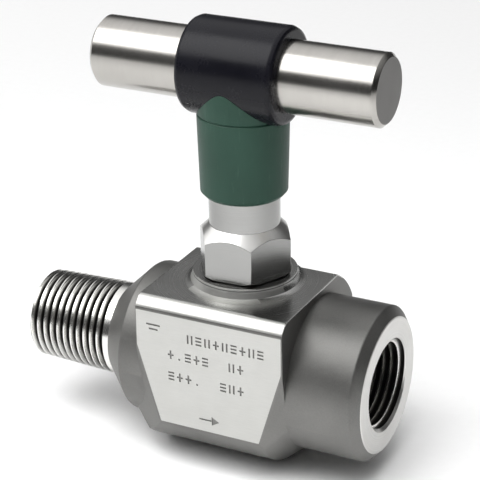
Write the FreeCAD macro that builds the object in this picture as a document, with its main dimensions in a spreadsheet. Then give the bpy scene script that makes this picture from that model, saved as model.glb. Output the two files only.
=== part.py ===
import FreeCAD, Part
import os

import Sketcher

# Needle valve with a male inlet, a female outlet and a tee-bar handle.
#
# Frame, in millimetres: the origin is the centre of the inlet's end face, +X runs with
# the flow, +Z runs up the stem, and -Y is the side that carries the marking flat.
# The valve is drawn shut, with the needle a hair above its seat.

os.makedirs("parts", exist_ok=True)
doc = FreeCAD.newDocument("needle_valve")
dims = doc.addObject("Spreadsheet::Sheet", "dims")

SIZES = [
    # Body and ports
    ("stem_x", 52.7, "inlet face to stem axis"),
    ("face_x", 87.6, "inlet face to outlet face"),
    ("inlet_rad", 10.6, "inlet thread, mean outer radius"),
    ("inlet_len", 22.3, "inlet thread length"),
    ("inlet_bevel", 0.8, "bevel at the start of the inlet thread"),
    ("inlet_bore", 4.25, "radius of the inlet bore"),
    ("inlet_bore_len", 26.0, "depth of the inlet bore"),
    ("way_rad", 2.6, "radius of the drilled way under the seat"),
    ("barrel_rad", 21.9, "radius of the round bar in the middle"),
    ("barrel_half", 18.0, "stem axis to the ends of the squared block, and of the bar at the inlet side"),
    ("barrel_out", 13.0, "stem axis to the end of the full bar at the outlet side"),
    ("cone_out", 18.0, "stem axis to the foot of the outlet-side cone"),
    ("hub_step", 17.7, "radius of the turned ends"),
    ("inlet_hub_len", 23.7, "stem axis to the start of the inlet-side taper"),
    ("root_rad", 11.1, "radius where that taper meets the thread"),
    ("outlet_bevel", 2.0, "length of the bevel at the outlet face"),
    ("outlet_lip", 15.3, "outer radius of the outlet face"),
    ("port_rad", 9.6, "outlet port, mean wall radius"),
    ("port_depth", 19.4, "depth of the outlet port"),
    ("port_mouth", 10.75, "radius of the outlet port at its face"),
    ("side_flat", 19.05, "stem axis to the flats on the sides"),
    ("top_flat", 19.3, "flow axis to the flat on top"),
    ("block_low", 0.0, "height above the flow axis where the squared block begins"),
    ("block_bevel", 2.1, "bevel between the marking flat and the top flat"),
    ("skew_width", 12.9, "half width of the marking flat where it is narrowest"),
    ("skew_drop", 9.3, "depth below the flow axis where that width is measured"),
    ("skew_side", 1.6, "how shallow the corner cuts are: run along the flow per unit inwards"),
    ("skew_rise", 0.3, "how fast the cuts widen upwards"),
    ("pad_rad", 11.8, "radius of the round pad under the bonnet"),
    ("pad_top", 21.9, "height of that pad"),
    ("pad_fillet", 2.0, "foot of the pad"),
    # Seat
    ("orifice", 2.4, "radius of the orifice"),
    ("seat_z", 3.2, "lower edge of the seat cone"),
    ("seat_rad", 3.4, "radius of the seat cone at its top"),
    ("seat_top", 4.932, "top of the seat cone"),
    ("chamber_rad", 6.5, "radius of the chamber round the needle"),
    ("ledge_z", 10.0, "ledge that the bonnet seal sits on"),
    ("outway_rad", 2.2, "radius of the slanted way to the outlet"),
    ("outway_tilt", 27.8, "slope of that way, degrees"),
    # Bonnet
    ("shank_rad", 9.0, "radius of the bonnet's screwed shank"),
    ("slack", 0.05, "clearance of screwed and running fits"),
    ("seal_thick", 0.8, "thickness of the bonnet seal"),
    ("bonnet_af", 19.05, "bonnet hexagon across flats"),
    ("bonnet_turn", 3.0, "turn of the hexagon, degrees"),
    ("hex_low", 22.2, "underside of the hexagon"),
    ("hex_high", 33.4, "top of the hexagon"),
    ("hex_bevel", 3.0, "height of the hexagon's bevel"),
    ("neck_rad", 7.94, "radius of the bonnet neck"),
    ("neck_top", 46.0, "top of the neck"),
    ("well_rad", 5.0, "radius of the well for the needle and of the packing box"),
    ("back_seat", 20.1, "seat that the stem collar closes on when the valve is open"),
    ("box_low", 21.5, "floor of the packing box"),
    ("pin_rad", 1.0, "radius of the bonnet lock pin"),
    ("pin_low", 17.0, "foot of the lock pin"),
    ("pin_high", 25.4, "top of the lock pin"),
    # Packing and gland
    ("washer_thick", 1.2, "thickness of the packing washer"),
    ("ring_thick", 2.6, "thickness of one packing ring"),
    ("ring_vee", 0.7, "depth of a packing ring's vee"),
    ("gland_low", 34.0, "underside of the gland screw"),
    ("gland_rad", 5.5, "radius of the gland screw"),
    ("gland_af", 12.7, "gland screw across flats"),
    ("gland_top", 53.0, "top of the gland screw"),
    ("lock_af", 13.6, "lock nut across flats"),
    ("lock_high", 49.0, "top of the lock nut"),
    ("wiper_z", 51.5, "height of the wiper ring"),
    ("wiper_wire", 0.6, "section radius of the wiper ring"),
    # Stem and needle
    ("stem_rad", 3.0, "radius of the stem through the packing"),
    ("screw_rad", 3.95, "radius of the stem's screw"),
    ("screw_low", 35.0, "foot of the stem's screw"),
    ("stem_top", 71.8, "top of the stem, inside the bar"),
    ("collar_rad", 4.6, "radius of the stem's collar"),
    ("collar_low", 13.05, "underside of the collar"),
    ("collar_top", 15.0, "top of the collar"),
    ("spigot_rad", 2.5, "radius of the stem's lower spigot"),
    ("spigot_low", 9.52, "lower end of the spigot"),
    ("ball_rad", 1.5, "radius of the thrust ball"),
    ("ball_z", 8.0, "height of the thrust ball"),
    ("needle_rad", 4.4, "radius of the needle"),
    ("needle_top", 13.0, "top of the needle"),
    ("needle_end", 1.0, "radius of the needle's blunt end"),
    ("seat_gap", 0.06, "gap between needle and seat, measured level"),
    ("wire_rad", 0.4, "section radius of the needle's retaining ring"),
    ("wire_z", 11.5, "height of that ring"),
    ("groove_half", 0.45, "half width of the groove for it"),
    # Cap, hub and handle
    ("cap_low", 40.4, "lower edge of the dust cap"),
    ("cap_lip", 8.9, "radius at that edge"),
    ("cap_foot", 9.7, "cap radius above its rounded edge"),
    ("cap_shoulder", 10.15, "cap radius at the groove below its ears"),
    ("cap_ledge", 59.0, "height of that groove"),
    ("cap_groove", 0.3, "depth and half width of the groove"),
    ("cap_ear", 10.5, "radius at the top of the cap's ears"),
    ("cap_top", 66.6, "top of the ears before the saddle is cut"),
    ("cap_bore", 8.3, "inner radius of the cap"),
    ("cap_roof", 54.9, "underside of the cap's roof"),
    ("clip_rad", 5.6, "outer radius of the circlip"),
    ("clip_low", 54.15, "underside of the circlip"),
    ("clip_thick", 0.7, "thickness of the circlip"),
    ("clip_seat", 3.5, "radius of the stem in the circlip groove"),
    ("bar_z", 68.46, "height of the handle bar"),
    ("bar_rad", 7.9375, "radius of the handle bar"),
    ("bar_half", 33.7, "half length of the handle bar"),
    ("bar_bevel", 0.9, "bevel at the ends of the bar"),
    ("hub_rad", 10.75, "radius of the handle hub"),
    ("hub_half", 11.4, "half length of the handle hub"),
    ("hub_round", 1.3, "rounding of the hub's rims"),
    ("grub_rad", 2.5, "radius of the set screw"),
    ("grub_out", 10.1, "outer end of the set screw"),
    ("grub_in", 3.3, "inner end of the set screw, on the stem's flat"),
    ("grub_af", 2.5, "set screw socket across flats"),
    ("grub_socket", 2.6, "depth of that socket"),
    ("stem_flat_low", 3.4, "bar's centre line to the foot of the flat on the stem"),
    ("stem_end_gap", 0.2, "gap above the stem inside the bar"),
    # Small bevels, gaps and roundings
    ("arc_share", 0.3, "where one chord corner of a rounded edge lies, as a share of its radius"),
    ("shank_bevel", 0.8, "bevel at the foot of the bonnet's shank and of the stem's screw"),
    ("neck_bevel", 0.7, "bevel at the top of the bonnet neck and on the gland screw's head"),
    ("edge_bevel", 0.6, "bevel on the lock nut, the gland's shank and the stem's ends"),
    ("fine_bevel", 0.4, "bevel on the spigot and the needle's top, and room above the ball"),
    ("foot_in", 0.9, "run of the bevels at the foot of the hexagon and of the cap"),
    ("seal_inset", 0.1, "how far the seal stays inside the shank's radius"),
    ("wiper_gap", 0.03, "gap between the wiper ring and the stem"),
    ("pin_gap", 0.02, "gap between the lock pin and the hexagon's flat"),
    ("hair", 0.01, "least amount by which a tool clears the face that it meets"),
    # Slanted way
    ("outway_out", 4.5, "stem axis to the start of the slanted way"),
    ("outway_high", 7.4, "height at which that way starts"),
    ("outway_len", 16.0, "length of that way"),
    # Cutting tools
    ("past", 1.0, "how far a tool or a joined shape runs past the face it opens"),
    ("seam", 0.5, "overlap where two joined shapes meet"),
    ("tool_past", 10.0, "thickness of a cutting block"),
    ("tool_wide", 60.0, "width of a cutting block"),
    ("tool_block", 40.0, "side of the corner-cutting block and length of the saddle cutter"),
]

for row, (alias, size, note) in enumerate(SIZES, start=1):
    dims.set("A%d" % row, note)
    dims.set("B%d" % row, str(size))
    dims.setAlias("B%d" % row, alias)
doc.recompute()


def bind(thing, **rules):
    """Ties properties to the sheet; a double underscore stands for a dot."""
    for prop, rule in rules.items():
        thing.setExpression(prop.replace("__", "."), rule)
    return thing


def plane_of(body, role):
    return [plane for plane in body.Origin.OriginFeatures if plane.Role == role][0]


def outline(body, name, corners, role="XZ_Plane"):
    """A closed outline whose corners are pairs of sheet rules."""
    sketch = body.newObject("Sketcher::SketchObject", name)
    sketch.AttachmentSupport = [(plane_of(body, role), "")]
    sketch.MapMode = "FlatFace"
    places = [[float(sketch.evalExpression(rule)) for rule in corner] for corner in corners]
    points = [FreeCAD.Vector(across, up, 0) for across, up in places]
    count = len(points)
    for i in range(count):
        sketch.addGeometry(Part.LineSegment(points[i], points[(i + 1) % count]))
    for i in range(count):
        sketch.addConstraint(Sketcher.Constraint("Coincident", i, 2, (i + 1) % count, 1))
    for i, (place, rules) in enumerate(zip(places, corners)):
        for kind, axis, value, rule in zip(("DistanceX", "DistanceY"), (-2, -1), place, rules):
            if value == 0:
                sketch.addConstraint(Sketcher.Constraint("PointOnObject", i, 1, axis))
            else:
                tie = sketch.addConstraint(Sketcher.Constraint(kind, -1, 1, i, 1, value))
                sketch.setExpression("Constraints[%d]" % tie, rule)
    return sketch


def turned(name, corners, axis="V_Axis", on_stem=True):
    """A body turned about the stem axis, or about the flow axis or the bar."""
    body = doc.addObject("PartDesign::Body", name)
    body.Label = name
    sketch = outline(body, name + "_outline", corners)
    spin = body.newObject("PartDesign::Revolution", name + "_turning")
    spin.Profile = sketch
    spin.ReferenceAxis = (sketch, [axis])
    spin.Angle = 360
    sketch.Visibility = False
    if on_stem:
        bind(body, Placement__Base__x="dims.stem_x")
    return body


def rod(name, radius, length, at, axis, tilt=None):
    """A plain cylinder from a point along an axis; the axis may be tilted by a rule."""
    shape = doc.addObject("Part::Cylinder", name)
    bind(shape, Radius=radius, Height=length)
    shape.Placement.Rotation = FreeCAD.Rotation(FreeCAD.Vector(0, 0, 1), axis)
    bind(shape, Placement__Base__x=at[0], Placement__Base__y=at[1], Placement__Base__z=at[2])
    if tilt:
        shape.Placement.Rotation = FreeCAD.Rotation(FreeCAD.Vector(0, 1, 0), 90)
        bind(shape, Placement__Rotation__Angle=tilt)
    return shape


def hexagon(name, across_flats, low, high, turn="0"):
    """A hexagonal prism on the stem axis, one corner towards +X before its turn."""
    prism = doc.addObject("Part::Prism", name)
    prism.Polygon = 6
    prism.Placement.Rotation = FreeCAD.Rotation(FreeCAD.Vector(0, 0, 1), 1)
    bind(prism, Circumradius="(%s) / sqrt(3)" % across_flats, Height="(%s) - (%s)" % (high, low))
    bind(prism, Placement__Base__x="dims.stem_x", Placement__Base__z=low)
    bind(prism, Placement__Rotation__Angle=turn)
    return prism


def joined(name, *shapes):
    union = doc.addObject("Part::MultiFuse", name)
    union.Shapes = list(shapes)
    union.Refine = True
    union.Label = name
    return union


def shared(name, first, second):
    common = doc.addObject("Part::Common", name)
    common.Base = first
    common.Tool = second
    common.Label = name
    return common


def cut(name, base, *tools):
    """The base less each tool; the last cut carries the name."""
    tool = tools[0] if len(tools) == 1 else joined(name + "_tools", *tools)
    less = doc.addObject("Part::Cut", name)
    less.Base = base
    less.Tool = tool
    less.Label = name
    return less


def tube(name, inner, outer, low, high):
    """A turned ring with square corners."""
    return turned(name, [(inner, low), (outer, low), (outer, high), (inner, high)])


X_WAY = FreeCAD.Vector(1, 0, 0)
Y_WAY = FreeCAD.Vector(0, 1, 0)
Z_WAY = FreeCAD.Vector(0, 0, 1)


# ---- Valve body ------------------------------------------------------------------

def corner_cut(along, side):
    """A block whose near face is one leaning corner cut, square to its outward normal."""
    size = float(dims.tool_block)
    normal = FreeCAD.Vector(along, side * dims.skew_side, -dims.skew_rise)
    edge = FreeCAD.Vector(along * dims.skew_width, side * dims.side_flat, -dims.skew_drop)
    foot = normal * (edge.dot(normal) / normal.Length ** 2) + FreeCAD.Vector(dims.stem_x, 0, 0)
    spin = FreeCAD.Rotation(Z_WAY, normal)
    block = doc.addObject("Part::Box", "corner_cut")
    block.Length = size
    block.Width = size
    block.Height = size
    offset = spin.multVec(FreeCAD.Vector(-size / 2, -size / 2, 0))
    block.Placement = FreeCAD.Placement(foot + offset, spin)
    return block


def squared_block():
    """The upper half: square at the marking side, round like the bar at the back."""
    body = doc.addObject("PartDesign::Body", "front_block")
    sketch = outline(
        body,
        "front_block_outline",
        [
            ("0", "dims.block_low"),
            ("-dims.side_flat", "dims.block_low"),
            ("-dims.side_flat", "dims.top_flat - dims.block_bevel"),
            ("-dims.side_flat + dims.block_bevel", "dims.top_flat"),
            ("0", "dims.top_flat"),
        ],
        role="YZ_Plane",
    )
    pad = body.newObject("PartDesign::Pad", "front_block_pad")
    pad.Profile = sketch
    pad.Midplane = True
    bind(pad, Length="2 * dims.barrel_half")
    bind(body, Placement__Base__x="dims.stem_x")
    bar = rod(
        "rear_round", "dims.barrel_rad", "2 * dims.barrel_half",
        ("dims.stem_x - dims.barrel_half", "0", "0"), X_WAY,
    )
    upper = doc.addObject("Part::Box", "rear_space")
    bind(upper, Length="2 * dims.barrel_half", Width="dims.tool_wide / 2")
    bind(upper, Height="dims.top_flat - dims.block_low")
    bind(upper, Placement__Base__x="dims.stem_x - dims.barrel_half", Placement__Base__y="-dims.seam")
    bind(upper, Placement__Base__z="dims.block_low")
    return [body, shared("rear_block", bar, upper)]


def valve_body():
    inlet_foot = "dims.barrel_half + dims.barrel_rad - dims.hub_step"
    barrel = turned(
        "barrel",
        [
            ("dims.stem_x - (%s)" % inlet_foot, "0"),
            ("dims.stem_x - (%s)" % inlet_foot, "dims.hub_step"),
            ("dims.stem_x - dims.barrel_half", "dims.barrel_rad"),
            ("dims.stem_x + dims.barrel_out", "dims.barrel_rad"),
            ("dims.stem_x + dims.cone_out", "dims.hub_step"),
            ("dims.stem_x + dims.cone_out", "0"),
        ],
        axis="H_Axis",
        on_stem=False,
    )
    flats = []
    for side in (-1, 1):
        flat = doc.addObject("Part::Box", "side_flat")
        bind(flat, Length="2 * dims.barrel_half + 2 * dims.tool_past")
        bind(flat, Width="dims.tool_past", Height="dims.tool_wide")
        bind(flat, Placement__Base__x="dims.stem_x - dims.barrel_half - dims.tool_past")
        bind(flat, Placement__Base__z="-dims.tool_wide / 2")
        bind(flat, Placement__Base__y="dims.side_flat" if side > 0 else "-dims.side_flat - dims.tool_past")
        flats.append(flat)
    crown = doc.addObject("Part::Box", "top_flat")
    bind(crown, Length="2 * dims.barrel_half + 2 * dims.tool_past")
    bind(crown, Width="dims.tool_wide", Height="dims.tool_past")
    bind(crown, Placement__Base__x="dims.stem_x - dims.barrel_half - dims.tool_past")
    bind(crown, Placement__Base__y="-dims.tool_wide / 2", Placement__Base__z="dims.top_flat")
    corners = [corner_cut(along, side) for along in (1, -1) for side in (-1, 1)]
    shoulder = doc.addObject("Part::Box", "inlet_shoulder")
    bind(shoulder, Length="2 * dims.tool_past", Width="dims.tool_wide", Height="dims.tool_wide / 2")
    bind(shoulder, Placement__Base__x="dims.stem_x - dims.barrel_half - 2 * dims.tool_past")
    bind(shoulder, Placement__Base__y="-dims.tool_wide / 2", Placement__Base__z="dims.block_low")
    rough = joined("rough_block", cut("stepped_barrel", barrel, shoulder), *squared_block())
    block = cut("barrel_block", rough, *flats, crown, *corners)

    ends = turned(
        "turned_ends",
        [
            ("0", "0"),
            ("0", "dims.inlet_rad - dims.inlet_bevel"),
            ("dims.inlet_bevel", "dims.inlet_rad"),
            ("dims.inlet_len", "dims.inlet_rad"),
            ("dims.inlet_len", "dims.root_rad"),
            ("dims.stem_x - dims.inlet_hub_len", "dims.hub_step"),
            ("dims.face_x - dims.outlet_bevel", "dims.hub_step"),
            ("dims.face_x", "dims.outlet_lip"),
            ("dims.face_x", "0"),
        ],
        axis="H_Axis",
        on_stem=False,
    )
    pad = turned(
        "bonnet_pad",
        [
            ("0", "0"),
            ("dims.pad_rad", "0"),
            ("dims.pad_rad + dims.pad_fillet", "dims.top_flat"),
            (
                "dims.pad_rad + dims.arc_share * dims.pad_fillet",
                "dims.top_flat + dims.arc_share * dims.pad_fillet",
            ),
            ("dims.pad_rad", "dims.top_flat + dims.pad_fillet"),
            ("dims.pad_rad", "dims.pad_top"),
            ("0", "dims.pad_top"),
        ],
    )
    solid = joined("body_solid", block, ends, pad)

    inlet = rod(
        "inlet_drill", "dims.inlet_bore", "dims.inlet_bore_len + dims.past",
        ("-dims.past", "0", "0"), X_WAY,
    )
    way = rod("way_drill", "dims.way_rad", "dims.stem_x + dims.orifice", ("0", "0", "0"), X_WAY)
    port = turned(
        "port_drill",
        [
            ("dims.face_x - dims.port_depth", "0"),
            ("dims.face_x - dims.port_depth", "dims.port_rad"),
            ("dims.face_x - dims.port_mouth + dims.port_rad", "dims.port_rad"),
            ("dims.face_x + dims.hair", "dims.port_mouth + dims.hair"),
            ("dims.face_x + dims.hair", "0"),
        ],
        axis="H_Axis",
        on_stem=False,
    )
    outway = rod(
        "outway_drill", "dims.outway_rad", "dims.outway_len",
        ("dims.stem_x + dims.outway_out", "0", "dims.outway_high"), X_WAY, tilt="90 + dims.outway_tilt",
    )
    well = turned(
        "seat_drill",
        [
            ("0", "0"),
            ("dims.orifice", "0"),
            ("dims.orifice", "dims.seat_z"),
            ("dims.seat_rad", "dims.seat_top"),
            ("dims.chamber_rad", "dims.seat_top"),
            ("dims.chamber_rad", "dims.ledge_z"),
            ("dims.shank_rad + dims.slack", "dims.ledge_z"),
            ("dims.shank_rad + dims.slack", "dims.pad_top + dims.past"),
            ("0", "dims.pad_top + dims.past"),
        ],
    )
    pin_hole = lock_pin_rod("pin_drill", "dims.pin_rad")
    return cut("valve_body", solid, inlet, way, port, outway, well, pin_hole)


def lock_pin_rod(name, radius):
    """The lock pin's place: upright, touching the flat at the bonnet's back."""
    reach = "(dims.bonnet_af / 2 + dims.pin_rad + dims.pin_gap)"
    spot = (
        "dims.stem_x - %s * sin(dims.bonnet_turn * 1 deg)" % reach,
        "%s * cos(dims.bonnet_turn * 1 deg)" % reach,
        "dims.pin_low",
    )
    return rod(name, radius, "dims.pin_high - dims.pin_low", spot, Z_WAY)


# ---- Bonnet and its seal ---------------------------------------------------------

def bonnet():
    hex_round = "dims.bonnet_af / sqrt(3)"
    prism = hexagon("bonnet_prism", "dims.bonnet_af", "dims.hex_low", "dims.hex_high", "dims.bonnet_turn")
    envelope = turned(
        "bonnet_envelope",
        [
            ("0", "dims.hex_low"),
            ("%s - dims.foot_in" % hex_round, "dims.hex_low"),
            (hex_round, "dims.hex_low + dims.edge_bevel"),
            (hex_round, "dims.hex_high - dims.hex_bevel"),
            ("%s - dims.hex_bevel" % hex_round, "dims.hex_high"),
            ("0", "dims.hex_high"),
        ],
    )
    head = shared("bonnet_head", prism, envelope)
    low = "dims.ledge_z + dims.seal_thick"
    shank = turned(
        "bonnet_shank",
        [
            ("0", low),
            ("dims.shank_rad - dims.shank_bevel", low),
            ("dims.shank_rad", "%s + dims.shank_bevel" % low),
            ("dims.shank_rad", "dims.hex_low + dims.past"),
            ("dims.neck_rad", "dims.hex_low + dims.past"),
            ("dims.neck_rad", "dims.neck_top - dims.neck_bevel"),
            ("dims.neck_rad - dims.neck_bevel", "dims.neck_top"),
            ("0", "dims.neck_top"),
        ],
    )
    bore = turned(
        "bonnet_drill",
        [
            ("0", "%s - dims.past" % low),
            ("dims.well_rad", "%s - dims.past" % low),
            ("dims.well_rad", "dims.back_seat"),
            ("dims.stem_rad + dims.slack", "dims.back_seat"),
            ("dims.stem_rad + dims.slack", "dims.box_low"),
            ("dims.well_rad", "dims.box_low"),
            ("dims.well_rad", "dims.gland_low"),
            ("dims.gland_rad + dims.slack", "dims.gland_low"),
            ("dims.gland_rad + dims.slack", "dims.neck_top + dims.past"),
            ("0", "dims.neck_top + dims.past"),
        ],
    )
    return cut("bonnet", joined("bonnet_solid", head, shank), bore)


def bonnet_seal():
    return tube(
        "bonnet_seal", "dims.chamber_rad", "dims.shank_rad - dims.seal_inset",
        "dims.ledge_z", "dims.ledge_z + dims.seal_thick",
    )


def bonnet_lock_pin():
    pin = lock_pin_rod("bonnet_lock_pin", "dims.pin_rad")
    pin.Label = "bonnet_lock_pin"
    return pin


# ---- Packing and gland -----------------------------------------------------------

def packing():
    """Washer, three vee rings nested in each other, and the follower above them."""
    inner = "dims.stem_rad + dims.slack"
    outer = "dims.well_rad - dims.slack"
    middle = "(dims.stem_rad + dims.well_rad) / 2"
    first = "dims.box_low + dims.washer_thick"
    washer = turned(
        "packing_washer",
        [
            (inner, "dims.box_low"),
            (outer, "dims.box_low"),
            (outer, first),
            (middle, "%s + dims.ring_vee" % first),
            (inner, first),
        ],
    )
    pieces = [washer]
    places = ("lower", "middle", "upper")
    for number, place in enumerate(places):
        low = "%s + %d * dims.ring_thick" % (first, number)
        high = "%s + %d * dims.ring_thick" % (first, number + 1)
        ring = turned(
            "packing_ring_%s" % place,
            [
                (inner, low),
                (middle, "%s + dims.ring_vee" % low),
                (outer, low),
                (outer, high),
                (middle, "%s + dims.ring_vee" % high),
                (inner, high),
            ],
        )
        pieces.append(ring)
    top = "%s + %d * dims.ring_thick" % (first, len(places))
    follower = turned(
        "gland_follower",
        [
            (inner, top),
            (middle, "%s + dims.ring_vee" % top),
            (outer, top),
            (outer, "dims.gland_low"),
            (inner, "dims.gland_low"),
        ],
    )
    pieces.append(follower)
    return pieces


def hex_nut(name, across_flats, low, high, bevel, bore, *extra):
    """A hexagon with both faces bevelled, less its bore."""
    prism = hexagon(name + "_prism", across_flats, low, high)
    corner = "%s / sqrt(3)" % across_flats
    envelope = turned(
        name + "_envelope",
        [
            ("0", low),
            ("%s - %s" % (corner, bevel), low),
            (corner, "%s + %s" % (low, bevel)),
            (corner, "%s - %s" % (high, bevel)),
            ("%s - %s" % (corner, bevel), high),
            ("0", high),
        ],
    )
    head = shared(name + "_head", prism, envelope)
    solid = joined(name + "_solid", head, *extra) if extra else head
    return cut(name, solid, bore)


def gland_screw():
    """The screw that presses the packing; the stem's screw runs inside it."""
    shank = turned(
        "gland_shank",
        [
            ("0", "dims.gland_low"),
            ("dims.gland_rad - dims.edge_bevel", "dims.gland_low"),
            ("dims.gland_rad", "dims.gland_low + dims.edge_bevel"),
            ("dims.gland_rad", "dims.lock_high + dims.seam"),
            ("0", "dims.lock_high + dims.seam"),
        ],
    )
    groove_rad = "dims.screw_rad + 2 * (dims.wiper_wire + dims.slack)"
    groove_low = "dims.wiper_z - dims.wiper_wire - dims.slack"
    groove_high = "dims.wiper_z + dims.wiper_wire + dims.slack"
    bore = turned(
        "gland_drill",
        [
            ("0", "dims.gland_low - dims.past"),
            ("dims.screw_rad + dims.slack", "dims.gland_low - dims.past"),
            ("dims.screw_rad + dims.slack", groove_low),
            (groove_rad, groove_low),
            (groove_rad, groove_high),
            ("dims.screw_rad + dims.slack", groove_high),
            ("dims.screw_rad + dims.slack", "dims.gland_top + dims.past"),
            ("0", "dims.gland_top + dims.past"),
        ],
    )
    return hex_nut(
        "gland_screw", "dims.gland_af", "dims.lock_high", "dims.gland_top",
        "dims.neck_bevel", bore, shank,
    )


def gland_lock_nut():
    bore = rod(
        "lock_drill", "dims.gland_rad + dims.slack", "dims.tool_past",
        ("dims.stem_x", "0", "dims.neck_top - dims.past"), Z_WAY,
    )
    return hex_nut(
        "gland_lock_nut", "dims.lock_af", "dims.neck_top", "dims.lock_high",
        "dims.edge_bevel", bore,
    )


def wire_ring(name, reach, wire, height):
    """A round-section ring on the stem axis."""
    ring = doc.addObject("Part::Torus", name)
    ring.Label = name
    bind(ring, Radius1=reach, Radius2=wire)
    bind(ring, Placement__Base__x="dims.stem_x", Placement__Base__z=height)
    return ring


# ---- Stem and needle -------------------------------------------------------------

def stem():
    """Spigot, collar, packing length, screw, and the end that the bar is fixed to."""
    groove_low = "dims.wire_z - dims.groove_half"
    groove_high = "dims.wire_z + dims.groove_half"
    blank = turned(
        "stem_blank",
        [
            ("0", "dims.spigot_low"),
            ("dims.spigot_rad - dims.fine_bevel", "dims.spigot_low"),
            ("dims.spigot_rad", "dims.spigot_low + dims.fine_bevel"),
            ("dims.spigot_rad", groove_low),
            ("dims.spigot_rad - dims.groove_half", groove_low),
            ("dims.spigot_rad - dims.groove_half", groove_high),
            ("dims.spigot_rad", groove_high),
            ("dims.spigot_rad", "dims.collar_low"),
            ("dims.collar_rad", "dims.collar_low"),
            ("dims.collar_rad", "dims.collar_top - dims.edge_bevel"),
            ("dims.collar_rad - dims.edge_bevel", "dims.collar_top"),
            ("dims.stem_rad", "dims.collar_top"),
            ("dims.stem_rad", "dims.screw_low"),
            ("dims.screw_rad", "dims.screw_low + dims.shank_bevel"),
            ("dims.screw_rad", "dims.clip_low"),
            ("dims.clip_seat", "dims.clip_low"),
            ("dims.clip_seat", "dims.clip_low + dims.clip_thick"),
            ("dims.screw_rad", "dims.clip_low + dims.clip_thick"),
            ("dims.screw_rad", "dims.stem_top - dims.edge_bevel"),
            ("dims.screw_rad - dims.edge_bevel", "dims.stem_top"),
            ("0", "dims.stem_top"),
        ],
    )
    flat = doc.addObject("Part::Box", "stem_flat")
    bind(flat, Length="dims.tool_past", Width="dims.tool_past / 2", Height="dims.tool_past")
    bind(flat, Placement__Base__x="dims.stem_x - dims.tool_past / 2")
    bind(flat, Placement__Base__y="dims.grub_in - dims.hair")
    bind(flat, Placement__Base__z="dims.bar_z - dims.stem_flat_low")
    return cut("stem", blank, flat)


def needle_tip():
    """The needle hangs on the stem by a wire ring, so it lifts without turning."""
    slope = "(dims.seat_rad - dims.orifice) / (dims.seat_top - dims.seat_z)"
    edge = "dims.orifice - dims.seat_gap"
    rise = "dims.seat_z + (%s - (" + edge + ")) / (" + slope + ")"
    groove_low = "dims.wire_z - dims.groove_half"
    groove_high = "dims.wire_z + dims.groove_half"
    socket = "dims.spigot_rad + dims.slack"
    return turned(
        "needle_tip",
        [
            ("0", rise % "dims.needle_end"),
            ("dims.needle_end", rise % "dims.needle_end"),
            ("dims.needle_rad", rise % "dims.needle_rad"),
            ("dims.needle_rad", "dims.needle_top - dims.fine_bevel"),
            ("dims.needle_rad - dims.fine_bevel", "dims.needle_top"),
            (socket, "dims.needle_top"),
            (socket, groove_high),
            ("dims.spigot_rad + dims.groove_half", groove_high),
            ("dims.spigot_rad + dims.groove_half", groove_low),
            (socket, groove_low),
            (socket, "dims.ball_z + dims.fine_bevel"),
            ("dims.ball_rad + dims.slack", "dims.ball_z + dims.fine_bevel"),
            ("dims.ball_rad + dims.slack", "dims.ball_z - dims.ball_rad"),
            ("0", "dims.ball_z - dims.ball_rad"),
        ],
    )


def tip_ball():
    ball = doc.addObject("Part::Sphere", "tip_ball")
    ball.Label = "tip_ball"
    bind(ball, Radius="dims.ball_rad")
    bind(ball, Placement__Base__x="dims.stem_x", Placement__Base__z="dims.ball_z")
    return ball


# ---- Cap, hub and handle ---------------------------------------------------------

def dust_cap():
    """A drafted cap whose top is saddled to the round of the hub."""
    blank = turned(
        "cap_blank",
        [
            ("dims.cap_bore", "dims.cap_low"),
            ("dims.cap_lip", "dims.cap_low"),
            ("dims.cap_foot", "dims.cap_low + dims.foot_in"),
            ("dims.cap_shoulder", "dims.cap_ledge - dims.cap_groove"),
            ("dims.cap_shoulder - dims.cap_groove", "dims.cap_ledge"),
            ("dims.cap_shoulder", "dims.cap_ledge + dims.cap_groove"),
            ("dims.cap_ear", "dims.cap_top"),
            ("dims.screw_rad + dims.slack", "dims.cap_top"),
            ("dims.screw_rad + dims.slack", "dims.cap_roof"),
            ("dims.cap_bore", "dims.cap_roof"),
        ],
    )
    saddle = rod(
        "cap_saddle", "dims.hub_rad + dims.slack", "dims.tool_block",
        ("dims.stem_x - dims.tool_block / 2", "0", "dims.bar_z"), X_WAY,
    )
    return cut("dust_cap", blank, saddle)


def stem_hole(name):
    return rod(
        name, "dims.screw_rad + dims.slack", "dims.stem_top - dims.cap_roof + dims.stem_end_gap",
        ("dims.stem_x", "0", "dims.cap_roof"), Z_WAY,
    )


def grub_hole(name):
    return rod(
        name, "dims.grub_rad + dims.slack", "2 * dims.tool_past",
        ("dims.stem_x", "0", "dims.bar_z"), Y_WAY,
    )


def handle_hub():
    inner = "dims.bar_rad + dims.slack"
    rim_corner = "dims.arc_share * dims.hub_round"
    blank = turned(
        "hub_blank",
        [
            ("-dims.hub_half", inner),
            ("-dims.hub_half", "dims.hub_rad - dims.hub_round"),
            ("-dims.hub_half + " + rim_corner, "dims.hub_rad - " + rim_corner),
            ("-dims.hub_half + dims.hub_round", "dims.hub_rad"),
            ("dims.hub_half - dims.hub_round", "dims.hub_rad"),
            ("dims.hub_half - " + rim_corner, "dims.hub_rad - " + rim_corner),
            ("dims.hub_half", "dims.hub_rad - dims.hub_round"),
            ("dims.hub_half", inner),
        ],
        axis="H_Axis",
    )
    bind(blank, Placement__Base__z="dims.bar_z")
    return cut("handle_hub", blank, stem_hole("hub_stem_drill"), grub_hole("hub_grub_drill"))


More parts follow.
